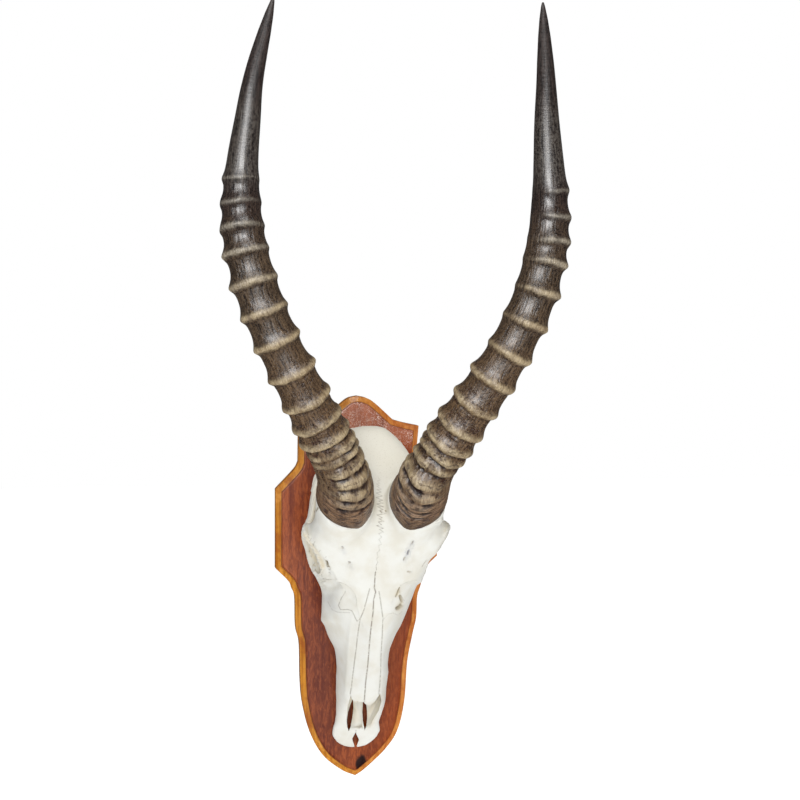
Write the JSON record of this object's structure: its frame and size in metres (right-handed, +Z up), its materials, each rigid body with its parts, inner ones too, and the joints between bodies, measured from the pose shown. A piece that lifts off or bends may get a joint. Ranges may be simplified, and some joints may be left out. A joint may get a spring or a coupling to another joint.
{
  "type": "antelope skull wall mount",
  "caption": "Blesbok skull without its lower jaw, with long ringed horns that curve outwards, on a shield-shaped stained wooden board that hangs on a wall.",
  "frame": {"origin": "middle of the board's flat back face, half way up the board", "axes": "+Z up, -Y out of the wall towards the viewer, +X to the viewer's right"},
  "size_m": [0.2564, 0.2356, 0.6172],
  "materials": {
    "stained_wood": "reddish brown stain under gloss varnish, golden routed edge",
    "bleached_bone": "matt, bleached ivory white bone",
    "tooth_enamel": "satin, cream",
    "ringed_horn": "dark brown horn with paler rings, glossy and nearly black towards the tips"
  },
  "bodies": {
    "root": {"plaque": "stained_wood", "skull": "bleached_bone", "horn_left": "ringed_horn", "horn_right": "ringed_horn", "tooth_left_1": "tooth_enamel", "tooth_left_2": "tooth_enamel", "tooth_left_3": "tooth_enamel", "tooth_left_4": "tooth_enamel", "tooth_left_5": "tooth_enamel", "tooth_left_6": "tooth_enamel", "tooth_right_1": "tooth_enamel", "tooth_right_2": "tooth_enamel", "tooth_right_3": "tooth_enamel", "tooth_right_4": "tooth_enamel", "tooth_right_5": "tooth_enamel", "tooth_right_6": "tooth_enamel"}
  },
  "joints": []
}
